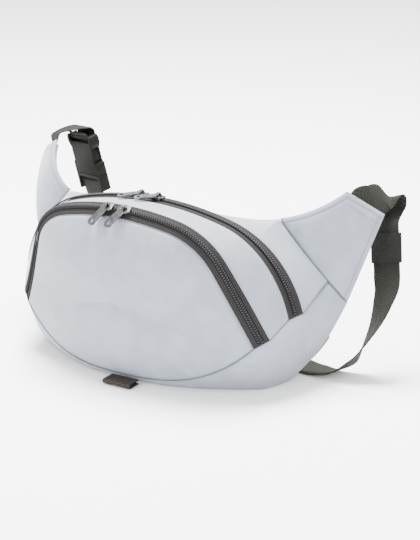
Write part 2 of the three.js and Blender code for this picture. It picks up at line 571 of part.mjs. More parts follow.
for (const [name, { zip, drop, skew }] of Object.entries(ZIPS)) {
  for (const [place, sign] of [["left", -1], ["right", 1]]) {
    const t = sign * SLIDER.offset / zip.reach;
    const x = onTape(zip, t + 0.01, 0).sub(onTape(zip, t - 0.01, 0)).normalize();
    const z = onTape(zip, t, -TAPE).sub(onTape(zip, t, TAPE)).normalize();
    z.addScaledVector(x, -z.dot(x)).normalize();
    const slider = new THREE.Group();
    slider.quaternion.setFromRotationMatrix(new THREE.Matrix4().makeBasis(x, z.clone().cross(x), z));
    slider.position.copy(onTape(zip, t, 0));
    bag.add(slider);
    const body = add(`${name}_${place}_slider`, sliderBody(), "metal", slider);
    if (sign > 0) body.rotation.y = Math.PI;
    const tab = add(`${name}_${place}_pull`, pull(skew), "metal", slider);
    tab.position.y = BAR.height;
    tab.rotation.x = drop;
  }
}

export default bag;
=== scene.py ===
"""Waist bag with two arched zips, hip wings and a webbing belt closed by a side-release buckle.

The shape formulas work in millimetres, with +X to the right, +Y to the back and +Z up, and the
meshes are written in metres. "Right" is the +X side, as seen from the front.
"""
import math

import bmesh
import bpy
import numpy as np
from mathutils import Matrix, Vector


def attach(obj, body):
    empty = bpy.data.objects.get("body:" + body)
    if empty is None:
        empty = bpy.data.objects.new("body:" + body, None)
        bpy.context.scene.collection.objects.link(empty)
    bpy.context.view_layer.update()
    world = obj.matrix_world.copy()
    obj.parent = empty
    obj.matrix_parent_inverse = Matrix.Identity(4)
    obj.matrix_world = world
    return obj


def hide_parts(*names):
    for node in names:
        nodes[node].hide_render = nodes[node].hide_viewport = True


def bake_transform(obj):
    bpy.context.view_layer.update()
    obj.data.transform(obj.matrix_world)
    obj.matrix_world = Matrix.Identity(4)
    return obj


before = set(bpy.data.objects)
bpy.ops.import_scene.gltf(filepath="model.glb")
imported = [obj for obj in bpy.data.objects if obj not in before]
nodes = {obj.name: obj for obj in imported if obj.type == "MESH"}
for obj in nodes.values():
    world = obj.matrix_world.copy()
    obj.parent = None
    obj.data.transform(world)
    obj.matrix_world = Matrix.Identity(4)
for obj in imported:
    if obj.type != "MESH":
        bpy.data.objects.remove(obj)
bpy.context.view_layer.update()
MM = 0.001
DEG = math.pi / 180


def add_object(name, data):
    made = bpy.data.objects.new(name, data)
    bpy.context.scene.collection.objects.link(made)
    return made


# ---------------------------------------------------------------- camera
VIEW = {"azimuth": 32, "elevation": 18, "distance": 1.4, "target": (0.06756, 0, 0.10327)}


def add_camera():
    """Stands on a sphere round the target, at the azimuth and elevation, and looks at it."""
    turn, rise = VIEW["azimuth"] * DEG, VIEW["elevation"] * DEG
    back = Vector((math.sin(turn) * math.cos(rise), -math.cos(turn) * math.cos(rise), math.sin(rise)))
    data = bpy.data.cameras.new("camera")
    data.sensor_fit = "VERTICAL"
    data.sensor_height, data.lens = 36, 105.5
    data.clip_start, data.clip_end = 0.05, 20
    camera = add_object("camera", data)
    camera.location = Vector(VIEW["target"]) + VIEW["distance"] * back
    camera.rotation_euler = (-back).to_track_quat("-Z", "Y").to_euler()
    bpy.context.scene.camera = camera


add_camera()

# ---------------------------------------------------------------- driving dimensions
TAPE = 8                       # width of one half of a zip tape
COIL = {"width": 5.6, "height": 1.75, "pitch": 2.3}
WEBBING = {"width": 30, "thick": 1.4}
FRONT_ZIP = {"crown": (0, -45, 160), "lean": 13 * DEG, "reach": 192,
             "arcs": ((250, 13.2 * DEG), (63, 64 * DEG), (4000, 66 * DEG)),
             "near": (36 * DEG, 47 * DEG), "far": (5.5 * DEG, 47 * DEG), "tuck": 8}
MAIN_ZIP = {"crown": (0, 7, 158), "lean": 5 * DEG, "reach": 189,
            "arcs": ((290, 16.2 * DEG), (89, 52.9 * DEG), (110, 83 * DEG)),
            "near": (-3 * DEG, 22 * DEG), "far": (-3 * DEG, 22 * DEG), "tuck": 0}
# Each side's corners, right then left: wing seam top and bottom, end of the base seam, and the
# two corners of the wing's tip.
SEAM_TOP = ((109, 145), (-125, 137.5))
SEAM_LOW = ((171, 72), (-177, 80))
JOIN = ((155, 92), (-163, 95.5))
TIP_TOP = ((158.5, 85, 168.5), (-165, 84, 176))
TIP_LOW = ((185, 108, 146), (-195, 110, 162))
BOW = (3, 9)                   # how far each wing bows out
WING_FLARE = 5                 # how far its top edge is drawn in
WING_BOWING = np.array((0.43, -0.76, 0.41))
BUCKLE = {"top": (-154, 113, 177.5), "across": (0.95, -0.30, 0.07), "down": (0.12, 0.20, -0.97)}
BACK_FLAT = 50                 # y of the back's flat middle
BASE_Z = 1.5                   # height of the back's lower edge
TOP_SPAN = 0.58                # share of the rear seam that runs along the top
DIP = 139                      # height of the rear seam's middle
FRONT_SEAM = (-45, 6)          # y and z of the front seam's middle
BASE_SPLIT = 0.62              # share of the base under the front panel
BASE_X = 135                   # x of the back's lower edge at that share
GUTTER = ((0, -36, -10), (114, 4, -34))  # the base's bending point, in the middle and at that share
DOME = {"middle": (0, -38, 78), "bulge": 21, "power": 2.4}


# ---------------------------------------------------------------- small helpers
def arr(values):
    return np.array(values, float)


def mix(a, b, t):
    return a + (b - a) * t


def smooth(v):
    """Cubic step: 3 t squared minus 2 t cubed, with t held between 0 and 1."""
    t = np.clip(v, 0, 1)
    return t * t * (3 - 2 * t)


def unit(v):
    return v / np.maximum(np.linalg.norm(v, axis=-1, keepdims=True), 1e-9)


def bump_at(distance, width):
    """Bell curve: e to the minus distance over width, squared."""
    return np.exp(-(distance / width) ** 2)


def run_length(path):
    """Distance along a line of points, from its first."""
    return np.concatenate([[0], np.cumsum(np.linalg.norm(np.diff(path, axis=0), axis=-1))])


def ripple(x, y, seed):
    """Six crossing sine waves of falling height, turned and shifted by fixed seeded numbers."""
    rng = np.random.default_rng(seed)
    total = 0.0 * (x + y)
    for k in range(6):
        turn, shift = rng.uniform(0, 2 * math.pi, 2)
        wave = (0.055 + 0.02 * k) * (x * math.cos(turn) + y * math.sin(turn))
        total += np.sin(wave + shift + 0.8 * np.sin(0.5 * wave + 2 * shift)) / (1 + 0.6 * k)
    return total / 2.5


# ---------------------------------------------------------------- arches and seams
def arch(zip_, s):
    """Arcs laid end to end: across and up grow by radius times the change of sine and cosine."""
    across, up, turned = np.zeros_like(s), np.zeros_like(s), np.zeros_like(s)
    left, start = s.copy(), 0.0
    for radius, end in zip_["arcs"]:
        turn = np.clip(left / radius, 0, end - start)
        across += radius * (np.sin(start + turn) - math.sin(start))
        up += radius * (np.cos(start + turn) - math.cos(start))
        left -= radius * turn
        turned += turn
        start = end
    return across + left * np.cos(turned), up - left * np.sin(turned), turned


def past_crown(zip_, t):
    start = zip_["arcs"][0][0] * zip_["arcs"][0][1] / zip_["reach"]
    return smooth((np.abs(t) - start) / (1 - start))


def beside_arch(zip_, t, out, back):
    """The arch's point at t from -1 to 1, moved out in the arch's plane and back along its normal."""
    across, up, turned = arch(zip_, np.abs(t) * zip_["reach"])
    sign = np.where(t < 0, -1.0, 1.0)
    tuck = np.where(t < 0, zip_["tuck"] * past_crown(zip_, t), 0)
    lean = zip_["lean"]
    rise = up + out * np.cos(turned)
    x, y, z = zip_["crown"]
    return np.stack([x + sign * (across - tuck + out * np.sin(turned)),
                     y - rise * math.sin(lean) + back * math.cos(lean),
                     z + rise * math.cos(lean) + back * math.sin(lean)], -1)


def tape_slope(zip_, w, t):
    near, far = (mix(*zip_[k], past_crown(zip_, t)) for k in ("near", "far"))
    return np.where(w < 0, near, far)


def on_tape(zip_, t, w):
    """Tape point: w across the tape splits into out by the slope's sine and back by its cosine."""
    t, w = np.broadcast_arrays(arr(t), arr(w))
    slope = tape_slope(zip_, w, t)
    return beside_arch(zip_, t, w * np.sin(slope), w * np.cos(slope))


def sided(pair, x):
    """The right value where x is not negative, else the left one, for each part of a pair."""
    right, left = arr(pair[0]), arr(pair[1])
    if right.ndim == 0:
        return np.where(x < 0, left, right)
    return [np.where(x < 0, b, a) for a, b in zip(right, left)]


def back_y(x):
    """Flat in the middle; past 105 mm it curves back by 15 times the square of the share of 65 mm."""
    return BACK_FLAT + 15 * (np.maximum(0, np.abs(x) - 105) / 65) ** 2


def on_back(x, z):
    return np.stack([x, back_y(x), z], -1)


def rear_seam(t):
    """Along the top with the fourth power of the share of its span, then straight to the base seam."""
    t = arr(t)
    (top_x, top_z), (end_x, end_z) = sided(SEAM_TOP, t), sided(JOIN, t)
    a = np.abs(t) / TOP_SPAN
    b = np.clip((a - 1) / (1 / TOP_SPAN - 1), 0, 1)
    x = np.where(a < 1, top_x * a, mix(top_x, end_x, b))
    z = np.where(a < 1, mix(DIP, top_z, np.minimum(a, 1) ** 4), mix(top_z, end_z, b))
    return on_back(x, z)


def rear_bottom_z(x):
    low_x, low_z = sided(SEAM_LOW, x)
    return BASE_Z + (low_z - BASE_Z) * (
        np.maximum(0, np.abs(x) - 112) / (np.abs(low_x) - 112)) ** 2.3


def rear_top_z(x):
    (top_x, top_z), (low_x, low_z) = sided(SEAM_TOP, x), sided(SEAM_LOW, x)
    a, knee = np.abs(x), np.abs(top_x)
    return np.where(a < knee, mix(DIP, top_z, np.minimum(a / knee, 1) ** 4),
                    mix(top_z, low_z, np.clip((a - knee) / (np.abs(low_x) - knee), 0, 1)))


def front_bottom(a, sign):
    """Seam from the middle of the front to a zip end: x linear, y squared and z to the power 3.1."""
    corner = on_tape(FRONT_ZIP, sign, -TAPE)
    x, y, z = corner[..., 0], corner[..., 1], corner[..., 2]
    return np.stack([x * a, mix(FRONT_SEAM[0], y, a * a), mix(FRONT_SEAM[1], z, a ** 3.1)], -1)


def base_upper(u):
    a, sign = np.abs(u), np.where(u < 0, -1.0, 1.0)
    low = front_bottom(np.minimum(a / BASE_SPLIT, 1), sign)
    ends = on_back(*sided(JOIN, u))
    stops = np.stack([on_tape(z, sign, w) for z in (FRONT_ZIP, MAIN_ZIP) for w in (-TAPE, TAPE)]
                     + [ends])
    f = np.clip((a - BASE_SPLIT) / (1 - BASE_SPLIT), 0, 1) * 4
    k = np.minimum(3, f.astype(int))
    i = np.arange(len(u))
    high = mix(stops[k, i], stops[k + 1, i], (f - k)[:, None])
    return np.where((a <= BASE_SPLIT)[:, None], low, high)


def base_lower(u):
    a, sign = np.abs(u), np.where(u < 0, -1.0, 1.0)
    far = np.abs(sided(SEAM_LOW, u)[0])
    x = sign * np.where(a <= BASE_SPLIT, BASE_X * a / BASE_SPLIT,
                        mix(BASE_X, far, (a - BASE_SPLIT) / (1 - BASE_SPLIT)))
    return on_back(x, rear_bottom_z(x))


def base_point(u, v):
    """Quadratic Bezier curve from the upper to the lower edge, bent by a point under the bag."""
    upper, lower = base_upper(u), base_lower(u)
    a = np.abs(u)
    bend = mix(arr(GUTTER[0]), arr(GUTTER[1]), np.clip(a / BASE_SPLIT, 0, 1)[:, None])
    bend[:, 0] *= np.sign(u)
    over = smooth((a - BASE_SPLIT) / (1 - BASE_SPLIT))[:, None]
    bend = mix(bend, (upper + lower) / 2, over)
    v = v[:, None, None]
    point = upper * (1 - v) ** 2 + bend * 2 * v * (1 - v) + lower * v * v
    point[..., 2] = np.maximum(point[..., 2], 0)
    return point


def wing_point(side, a, b):
    """Bilinear patch from the body seam to the tip, with its top edge drawn in and a slight bow."""
    a, b = np.broadcast_arrays(arr(a), arr(b))
    top, low = SEAM_TOP[side], SEAM_LOW[side]
    seam = on_back(mix(top[0], low[0], b), mix(top[1], low[1], b))
    tip = mix(arr(TIP_TOP[side]), arr(TIP_LOW[side]), b[..., None])
    swell = 4 * a * np.maximum(0, 1 - a)
    point = mix(seam, tip, a[..., None])
    point[..., 2] -= swell * WING_FLARE * np.maximum(0, 1 - 2 * b)
    lean = WING_BOWING * arr((1 if side == 0 else -1, 1, 1))
    return point + lean * (BOW[side] * swell)[..., None]


def wing_seat(side, a, depth=2.8):
    """Where webbing is sewn in: depth under the middle of the wing, across its width."""
    here, ahead = wing_point(side, a, 0.5), wing_point(side, a + 0.02, 0.5)
    edge = unit(wing_point(side, a, 0.7) - wing_point(side, a, 0.3))
    inward = unit(np.cross(unit(ahead - here), edge)) * (1 if side == 0 else -1)
    return tuple(here + inward * depth), tuple(edge)


buckle_z = unit(arr(BUCKLE["down"]))
buckle_x = arr(BUCKLE["across"])
buckle_x = unit(buckle_x - buckle_z * (buckle_x @ buckle_z))
buckle_y = np.cross(buckle_z, buckle_x)
ACROSS = tuple(-arr(BUCKLE["across"]))


def on_buckle(x, y, z):
    return tuple(arr(BUCKLE["top"]) + x * buckle_x + y * buckle_y + z * buckle_z)


# ---------------------------------------------------------------- meshes from grids
def grid_normals(grid, ring=False):
    """Unit cross product of the step along a row and the step from row to row."""
    if ring:
        along = np.roll(grid, -1, 1) - np.roll(grid, 1, 1)
    else:
        along = np.gradient(grid, axis=1)
    across = np.gradient(grid, axis=0)
    flat = np.linalg.norm(along, axis=-1) < 1e-6
    along[flat] = np.broadcast_to(along[1:2], along.shape)[flat]
    return unit(np.cross(along, across))


def grid_uv(grid):
    """Distance along the middle row, and the mean distance from row to row, in millimetres."""
    step_v = np.linalg.norm(np.diff(grid, axis=0), axis=-1).mean(1)
    v = np.concatenate([[0], np.cumsum(step_v)])
    return np.stack(np.meshgrid(run_length(grid[len(grid) // 2]), v), -1)


def put_mesh(name, points, faces, uv):
    """New piece from points in millimetres and faces; uv has a pair for every point.

    Faces that enclose a volume below zero are turned round, so that they look outwards."""
    volume = sum(np.einsum("ij,ij->", points[f[:, 0]], np.cross(points[f[:, k]], points[f[:, k + 1]]))
                 for f in faces for k in range(1, f.shape[1] - 1))
    if volume < 0:
        faces = [f[:, ::-1] for f in faces]
    mesh = bpy.data.meshes.new(name)
    corners = np.concatenate([np.ravel(f) for f in faces]).astype(np.int32)
    sizes = np.concatenate([np.full(len(f), f.shape[1]) for f in faces]).astype(np.int32)
    mesh.vertices.add(len(points))
    mesh.vertices.foreach_set("co", (points * MM).astype(np.float32).ravel())
    mesh.loops.add(len(corners))
    mesh.loops.foreach_set("vertex_index", corners)
    mesh.polygons.add(len(sizes))
    mesh.polygons.foreach_set("loop_start", np.concatenate([[0], np.cumsum(sizes)[:-1]]).astype(np.int32))
    mesh.polygons.foreach_set("loop_total", sizes)
    mesh.polygons.foreach_set("use_smooth", np.ones(len(sizes), bool))
    mesh.update(calc_edges=True)
    layer = mesh.uv_layers.new(name="UVMap")
    layer.data.foreach_set("uv", (uv[corners] * MM).astype(np.float32).ravel())
    mesh.validate()
    return add_object(name, mesh)


def quads(a, b, c, d):
    return np.stack([a.ravel(), b.ravel(), c.ravel(), d.ravel()], -1)


def grid_quads(index):
    """Faces between neighbouring rows and columns of point numbers."""
    return quads(index[:-1, :-1], index[:-1, 1:], index[1:, 1:], index[1:, :-1])


def shell(name, outer, inner, ring=False, uv=None):
    """Closed piece between two matching grids; ring joins each row's end to its start, and the
    first row of a ring is a single point."""
    rows, cols = outer.shape[:2]
    if uv is None:
        uv = grid_uv(outer)
    index = np.arange(rows * cols).reshape(rows, cols)
    if ring:
        index = np.concatenate([index, index[:, :1]], 1)
    low = index + rows * cols
    faces = [quads(index[-1, :-1], index[-1, 1:], low[-1, 1:], low[-1, :-1])]
    if ring:
        index[0], low[0] = index[0, 0], low[0, 0]
        faces += [np.stack([index[0, :-1], index[1, 1:], index[1, :-1]], -1),
                  np.stack([low[0, :-1], low[1, :-1], low[1, 1:]], -1)]
        index, low = index[1:], low[1:]
    else:
        faces += [quads(index[0, 1:], index[0, :-1], low[0, :-1], low[0, 1:]),
                  quads(index[:-1, 0], index[1:, 0], low[1:, 0], low[:-1, 0]),
                  quads(index[1:, -1], index[:-1, -1], low[:-1, -1], low[1:, -1])]
    faces += [grid_quads(index), quads(low[:-1, :-1], low[1:, :-1], low[1:, 1:], low[:-1, 1:])]
    points = np.concatenate([outer.reshape(-1, 3), inner.reshape(-1, 3)])
    return put_mesh(name, points, faces, np.concatenate([uv.reshape(-1, 2)] * 2))


def tube(name, rows, uv):
    """Closed piece from rings of points, one ring to a row, capped at both ends by quads that
    join each point of a ring to the one across it."""
    n, m = rows.shape[:2]
    index = np.arange(n * m).reshape(n, m)
    index = np.concatenate([index, index[:, :1]], 1)
    faces = [grid_quads(index)]
    i = np.arange(m // 2 - 1)
    first = quads(i, m - 1 - i, m - 2 - i, i + 1)
    faces += [first, first[:, ::-1] + (n - 1) * m]
    return put_mesh(name, rows.reshape(-1, 3), faces, uv.reshape(-1, 2))


def torus(name, grid, uv):
    """Closed piece from a grid whose rows and columns both join on themselves."""
    n, m = grid.shape[:2]
    index = np.arange(n * m).reshape(n, m)
    index = np.concatenate([index, index[:1]], 0)
    index = np.concatenate([index, index[:, :1]], 1)
    return put_mesh(name, grid.reshape(-1, 3), [grid_quads(index)], uv.reshape(-1, 2))


def finish_piece(piece, material, body="bag", replaces=()):
    """Gives a piece its finish, its body and the plain solids it stands for."""
    piece.data.materials.clear()
    piece.data.materials.append(material)
    if body:
        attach(piece, body)
    if replaces:
        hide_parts(*replaces)
    return piece


# ---------------------------------------------------------------- materials
class Value:
    """A number inside a material; sums, products and powers on it add Math nodes."""

    def __init__(self, finish, socket):
        self.finish, self.socket = finish, socket

    def math(self, operation, *others):
        values = [o.socket if isinstance(o, Value) else o for o in others]
        return self.finish.node("ShaderNodeMath", {"operation": operation},
                                dict(enumerate([self.socket] + values)))

    def __add__(self, other):
        return self.math("ADD", other)

    def __mul__(self, other):
        return self.math("MULTIPLY", other)

    def __sub__(self, other):
        return self.math("SUBTRACT", other)

    def __rsub__(self, other):
        return self * -1 + other

    def __pow__(self, other):
        return self.math("POWER", other)

    def sine(self):
        return self.math("SINE")

    def size(self):
        return self.math("ABSOLUTE")

    def step(self, low, high):
        """0 below low, 1 above high, smooth between them."""
        return self.finish.node("ShaderNodeMapRange", {"interpolation_type": "SMOOTHSTEP"},
                                {0: self.socket, 1: low, 2: high, 3: 0, 4: 1})


class Finish:
    """A material on the principled shader, with its constant numbers set on the shader's sockets."""

    def __init__(self, name, **numbers):
        self.material = bpy.data.materials.new(name)
        self.material.use_nodes = True
        self.tree = self.material.node_tree
        self.shader = next(n for n in self.tree.nodes if n.type == "BSDF_PRINCIPLED")
        for key, value in numbers.items():
            self.shader.inputs[key.replace("_", " ").title().replace("Ior", "IOR")].default_value = value

    def node(self, kind, settings=None, sockets=None, out=0):
        """A node of that type: its settings first, then numbers or links on its sockets."""
        made = self.tree.nodes.new(kind)
        for key, value in (settings or {}).items():
            setattr(made, key, value)
        for key, value in (sockets or {}).items():
            value = value.socket if isinstance(value, Value) else value
            if isinstance(value, bpy.types.NodeSocket):
                self.tree.links.new(value, made.inputs[key])
            else:
                made.inputs[key].default_value = value
        return Value(self, made.outputs[out])

    def place(self):
        return self.node("ShaderNodeTexCoord", out="Object").socket

    def across_and_along(self):
        """The piece's own two surface distances, in millimetres."""
        uv = self.node("ShaderNodeSeparateXYZ", {}, {0: self.node("ShaderNodeUVMap").socket})
        outs = uv.socket.node.outputs
        return Value(self, outs[0]) * 1000, Value(self, outs[1]) * 1000

    def noise(self, scale, detail=3):
        """Clouds between about 0.3 and 0.7, of that many to the metre."""
        return self.node("ShaderNodeTexNoise", {},
                         {"Vector": self.place(), "Scale": scale, "Detail": detail, "Roughness": 0.55})

    def tones(self, mask, low, high):
        """Colour from low, a tone or a mixed colour, to the tone high as mask goes from 0 to 1."""
        start = low if isinstance(low, Value) else (*low, 1)
        return self.node("ShaderNodeMix", {"data_type": "RGBA"},
                         {0: mask, 6: start, 7: (*high, 1)}, out=2)

    def colour(self, value):
        self.tree.links.new(value.socket, self.shader.inputs["Base Color"])

    def rough(self, value):
        self.tree.links.new(value.socket, self.shader.inputs["Roughness"])

    def relief(self, *layers):
        """Bumps on bumps: each layer is a height from 0 to 1 and how tall it is in millimetres."""
        normal = None
        for height, tall in layers:
            sockets = {"Height": height, "Distance": tall * MM, "Strength": 1.0}
            if normal is not None:
                sockets["Normal"] = normal
            normal = self.node("ShaderNodeBump", {}, sockets)
        self.tree.links.new(normal.socket, self.shader.inputs["Normal"])
        return self


def plain_weave(finish, pitch):
    """Over and under yarns: warp and weft humps take turns by the sign of a sine product."""
    u, v = finish.across_and_along()
    warp, weft = (u * (math.pi / pitch)).sine(), (v * (math.pi / pitch)).sine()
    return (warp * weft) * 0.5 + 0.5


def cloth_finish(name, low, high, pitch, roughness, sheen=0.3):
    """Woven cloth: yarn relief, painted shade between the yarns, with soft clouds in its tone."""
    finish = Finish(name, roughness=roughness, sheen_weight=sheen, sheen_roughness=0.5)
    weave = plain_weave(finish, pitch)
    clouds = finish.noise(55, 4)
    grain = finish.noise(900, 2)
    mask = clouds * 0.9 + grain * 0.5 - 0.2
    colour = finish.tones(mask.step(0.25, 0.85), low, high)
    # Painted shade: the colour darkens in the gaps between the yarns
    yarn_gap_shade = weave.step(0.0, 0.28) * -0.16 + 0.16
    finish.colour(finish.tones(yarn_gap_shade, colour, tuple(c * 0.72 for c in low)))
    finish.rough(grain * 0.16 + (roughness - 0.08))
    return finish.relief((finish.noise(160, 3), 0.10), (weave, 0.05))


def webbing_finish(name, low, high, rib, roughness=0.8):
    """Webbing: chevron yarns over lengthwise ribs, each rib a rounded cord with slanting threads."""
    finish = Finish(name, roughness=roughness, specular_ior_level=0.12)
    u, v = finish.across_and_along()
    cords = (u * (math.pi / rib)).sine().size()
    slant = ((u * (math.pi / (2 * rib))).sine() * 2.2 + v * (math.pi / 1.25)).sine()
    yarn = slant * 0.5 + 0.5
    height = cords ** 0.6 * (yarn * 0.55 + 0.45)
    fuzz = finish.noise(1500, 2)
    # Painted shade and light: the colour follows the relief, darker in the hollows between cords and
    # yarns, lighter on their tops
    finish.colour(finish.tones((height * 0.85 + fuzz * 0.4 - 0.12).step(0.1, 0.95), low, high))
    finish.rough(fuzz * 0.2 + (roughness - 0.1))
    return finish.relief((finish.noise(120, 2), 0.12), (height, 0.34))


def tape_finish(name, low, high):
    """Zip tape: fine herringbone ribs that run along the tape."""
    finish = Finish(name, roughness=0.9, specular_ior_level=0.05)
    u, v = finish.across_and_along()
    ribs = (v * (math.pi / 0.9)).sine() * 0.5 + 0.5
    slant = ((v * (math.pi / 1.8)).sine() * 1.5 + u * (math.pi / 0.7)).sine() * 0.5 + 0.5
    height = ribs * 0.6 + slant * 0.4
    fuzz = finish.noise(1300, 2)
    # Painted shade and light: the colour follows the relief, darker in the grooves, lighter on the ribs
    finish.colour(finish.tones((height * 0.8 + fuzz * 0.4 - 0.1).step(0.1, 0.95), low, high))
    return finish.relief((height, 0.16))


def moulded_finish(name, low, high, roughness):
    """Moulded plastic: fine spark-eroded grain, slightly paler and duller in soft patches."""
    finish = Finish(name, roughness=roughness, specular_ior_level=0.04)
    grain, patches = finish.noise(2600, 2), finish.noise(110, 3)
    finish.colour(finish.tones((patches * 0.7 + grain * 0.5).step(0.3, 0.85), low, high))
    finish.rough(patches * 0.22 + grain * 0.12 + (roughness - 0.15))
    return finish.relief((grain, 0.03))


def cast_metal_finish(name, low, high):
    """Satin die-cast zinc: tumbled speckle with worn, brighter patches."""
    finish = Finish(name, metallic=0.85, roughness=0.42)
    grain, patches = finish.noise(2200, 3), finish.noise(260, 2)
    finish.colour(finish.tones((patches * 0.6 + grain * 0.6).step(0.35, 0.85), low, high))
    finish.rough(grain * 0.25 + patches * 0.2 + 0.16)
    return finish.relief((grain, 0.035))


def coil_finish(name, low, high):
    """Nylon coil: painted shade between its turns, along its middle groove and at its edges, and a
    painted highlight on their tops.
    """
    finish = Finish(name, roughness=0.5, specular_ior_level=0.12)
    u, v = finish.across_and_along()
    turns = ((u * (2 * math.pi / COIL["pitch"])).sine() * 0.5 + 0.5).step(0.4, 0.95)
    middle = (v * (2 / COIL["width"])).size()
    ridge = middle.step(0.02, 0.2) - middle.step(0.7, 0.98)
    # Painted light: dark in the gaps between turns, in the middle groove and at the edges, light on the
    # turn tops
    finish.colour(finish.tones(turns * ridge, low, high))
    return finish.relief((finish.noise(1200, 2), 0.03))


def air_mesh_finish(name, low, high):
    """Spacer mesh: rows of small open holes, every second row shifted by half a step."""
    finish = Finish(name, roughness=0.9, sheen_weight=0.3)
    u, v = finish.across_and_along()
    holes = (u * (math.pi / 1.3)).sine() * (v * (math.pi / 1.1)).sine()
    open_ = holes.size().step(0.35, 0.8)
    fuzz = finish.noise(1000, 2)
    # Painted shade: the colour darkens inside the open holes
    finish.colour(finish.tones((fuzz * 0.6 + open_ * -0.5 + 0.5).step(0.2, 0.9), low, high))
    return finish.relief((1 - open_, 0.5))


PALE, PALE_LIT = (0.187, 0.212, 0.250), (0.240, 0.265, 0.305)
# Painted shadow colours for the dark cords laid in the seam dips
FOLD_SHADOW, FOLD_SHADOW_LIT = (0.060, 0.070, 0.088), (0.095, 0.108, 0.130)
LINING, LINING_LIT = (0.294, 0.308, 0.336), (0.35, 0.364, 0.392)
MESH, MESH_LIT = (0.063, 0.0665, 0.0735), (0.21, 0.217, 0.231)
TAPE_GREY, TAPE_LIT = (0.007, 0.0063, 0.007), (0.0392, 0.0364, 0.0371)
COIL_GREY, COIL_LIT = (0.0018, 0.0018, 0.0018), (0.0340, 0.0340, 0.0365)
OLIVE, OLIVE_LIT = (0.0050, 0.0054, 0.0040), (0.0190, 0.0204, 0.0162)
BROWN, BROWN_LIT = (0.0060, 0.0048, 0.0038), (0.0600, 0.0510, 0.0440)
ELASTIC, ELASTIC_LIT = (0.0055, 0.0060, 0.0044), (0.0110, 0.0120, 0.0095)
NYLON, NYLON_LIT = (0.0070, 0.0078, 0.0058), (0.0140, 0.0155, 0.0120)
ZINC, ZINC_LIT = (0.022, 0.022, 0.023), (0.130, 0.130, 0.133)
THREAD, THREAD_LIT = (0.119, 0.133, 0.161), (0.182, 0.196, 0.224)
cloth = cloth_finish("pale polyester", PALE, PALE_LIT, 0.62, 0.72).material
fold_shadow_cloth = cloth_finish("shaded fold", FOLD_SHADOW, FOLD_SHADOW_LIT, 0.62, 0.8, 0).material
cloth_inside = cloth_finish("lining cloth", LINING, LINING_LIT, 0.5, 0.85).material
air_mesh = air_mesh_finish("air mesh", MESH, MESH_LIT).material
tape_weave = tape_finish("zip tape weave", TAPE_GREY, TAPE_LIT).material
coil_nylon = coil_finish("zip coil nylon", COIL_GREY, COIL_LIT).material
belt_weave = webbing_finish("belt webbing", OLIVE, OLIVE_LIT, 1.9).material
loop_weave = webbing_finish("loop webbing", BROWN, BROWN_LIT, 1.5).material
elastic_knit = webbing_finish("keeper elastic", ELASTIC, ELASTIC_LIT, 1.0, 0.7).material
buckle_nylon = moulded_finish("buckle nylon", NYLON, NYLON_LIT, 0.62).material
pull_metal = cast_metal_finish("zip pull metal", ZINC, ZINC_LIT).material
thread = cloth_finish("sewing thread", THREAD, THREAD_LIT, 0.5, 0.8, 0).material

for node in ("back_lining", "pocket_divider"):
    nodes[node].data.materials.clear()
    nodes[node].data.materials.append(cloth_inside)


# ---------------------------------------------------------------- body panels
def edge_reach(grid):
    """Distance along the grid to its first and last rows, and to its start and end columns."""
    down = np.concatenate([np.zeros((1, grid.shape[1])),
                           np.cumsum(np.linalg.norm(np.diff(grid, axis=0), axis=-1), 0)])
    along = np.concatenate([np.zeros((grid.shape[0], 1)),
                            np.cumsum(np.linalg.norm(np.diff(grid, axis=1), axis=-1), 1)], 1)
    return {"first": down, "last": down[-1:] - down, "start": along, "end": along[:, -1:] - along}


def seam_dip(grid, edges, deep):
    """Depth of a panel's turned-in edge: a bell of the distance to each chosen edge of the grid.

    edges names first and last for rows, start and end for columns."""
    reach = edge_reach(grid)
    return deep * np.maximum.reduce([bump_at(reach[e], SEAM_WIDTH) for e in edges])


def near_edges(values, ends=3.0):
    """Places from 0 to 1 that crowd towards both ends, so that turned-in edges stay round."""
    x = np.linspace(-1, 1, values)
    return 0.5 + 0.5 * np.tanh(ends * x) / math.tanh(ends)


THICK = 0.9                    # of the cloth
SEAM_WIDTH = 2.2               # of the dip beside a seam
ALONG = 280                    # steps along a zip


def panel(name, grid, material, stands_for, edges=(), deep=0.9, relief=None):
    """Cloth panel: a grid sunk at its sewn edges, moved by its own relief, with a cloth's depth."""
    normal = grid_normals(grid)
    height = -seam_dip(grid, edges, deep) if edges else np.zeros(grid.shape[:2])
    if relief is not None:
        height = height + relief
    outer = grid + normal * height[..., None]
    piece = shell(name, outer, outer - normal * THICK, uv=grid_uv(grid))
    return finish_piece(piece, material, replaces=stands_for)


def strip(first, last, places):
    return mix(first[None], last[None], places[:, None, None])


columns = np.linspace(-1, 1, ALONG + 1)
seam_line = {}
for key, zip_ in (("front", FRONT_ZIP), ("main", MAIN_ZIP)):
    for w_name, w in (("near", -TAPE), ("mid", 0), ("far", TAPE)):
        seam_line[key, w_name] = on_tape(zip_, columns, w)
rear_line = rear_seam(columns)


